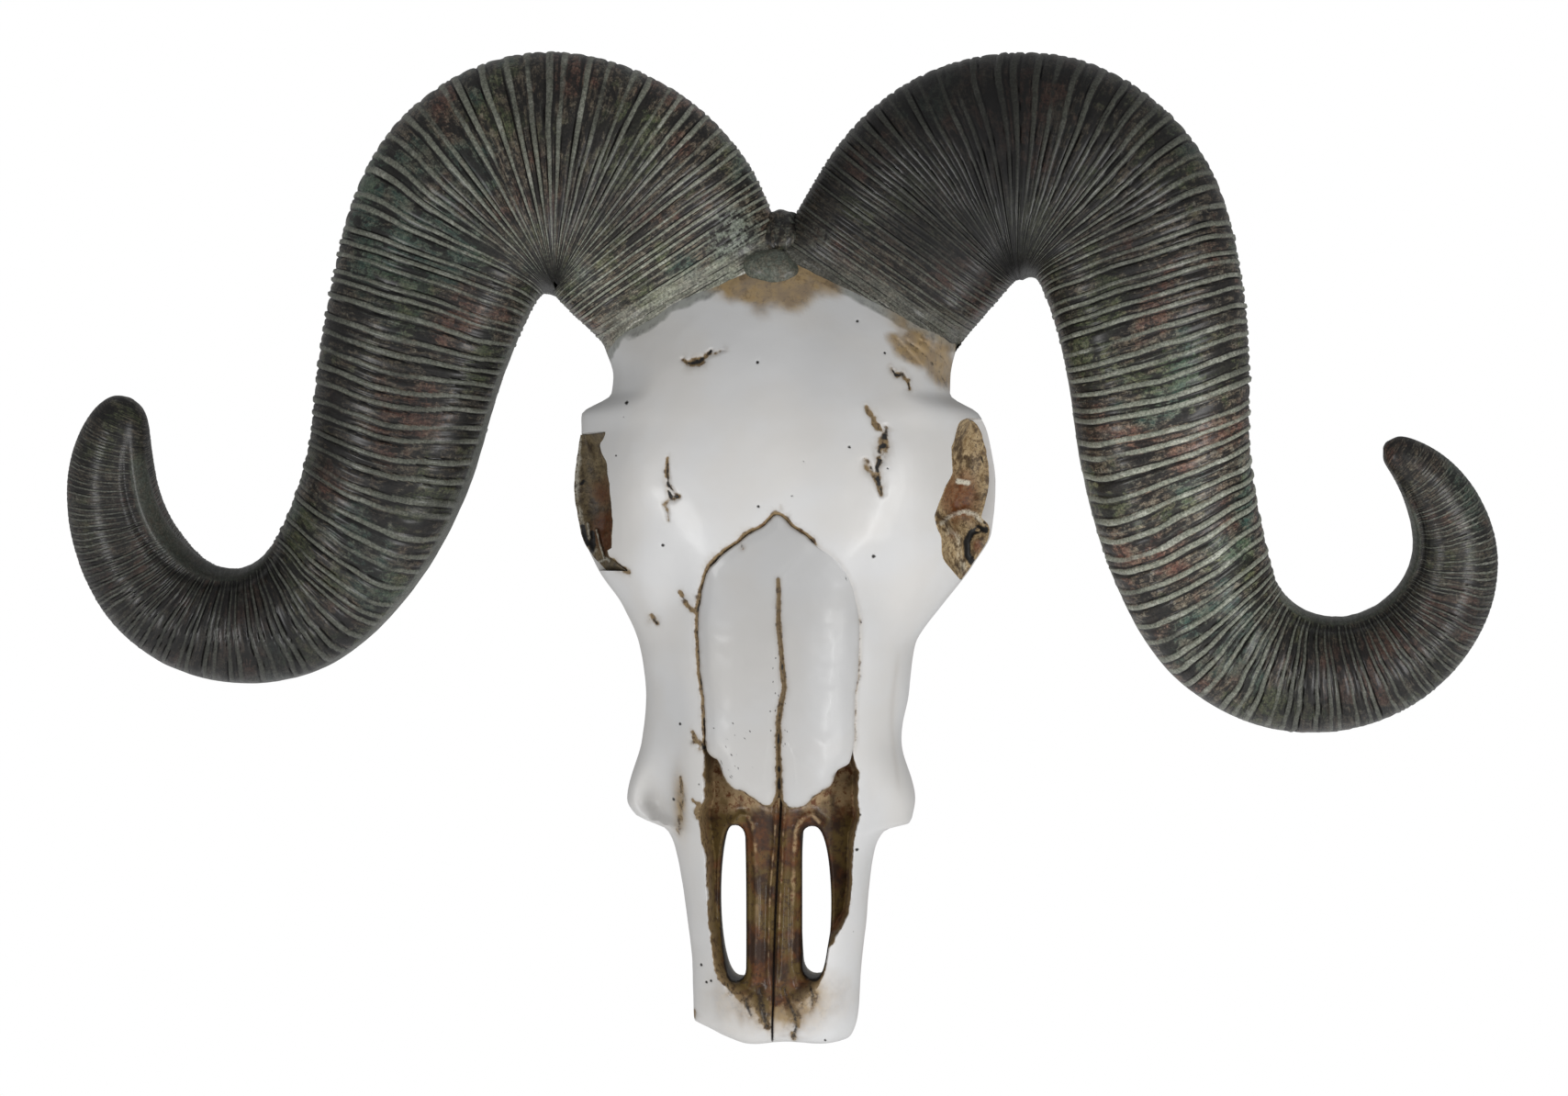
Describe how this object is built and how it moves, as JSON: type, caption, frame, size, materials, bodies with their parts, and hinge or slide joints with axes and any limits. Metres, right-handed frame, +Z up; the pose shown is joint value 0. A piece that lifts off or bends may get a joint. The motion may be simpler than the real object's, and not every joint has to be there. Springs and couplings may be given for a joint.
{
  "type": "ram skull wall sculpture",
  "caption": "Cast and painted resin ram's skull for a wall, with two ridged dark horns that arch out and curl up, and a flat back with a sawtooth hanger.",
  "frame": {"origin": "on the flat back at the midline, behind the place where the horns leave the crown", "axes": "+X to the viewer's right along the span of the horns, +Y into the wall, +Z up; the face looks along -Y"},
  "size_m": [0.5601, 0.0985, 0.3897],
  "materials": {
    "bone": "satin lacquered off-white resin with brown grime in the cracks and grooves",
    "stain": "resin stained olive to rust brown in the hollows",
    "horn": "dark brown-black resin with dry-brushed grey-green ridges, half gloss",
    "steel": "plated strip and nails"
  },
  "bodies": {
    "root": {"cranium": "bone", "upper_jaw": "bone", "muzzle": "bone", "nasal_bones": "bone", "nasal_floor": "stain", "eye_socket_left": "stain", "eye_socket_right": "stain", "crown_boss": "horn", "horn_left_arch": "horn", "horn_left_shaft": "horn", "horn_left_hook": "horn", "horn_right_arch": "horn", "horn_right_shaft": "horn", "horn_right_hook": "horn", "hanger_strip": "steel", "hanger_pin_left": "steel", "hanger_pin_right": "steel"}
  },
  "joints": []
}
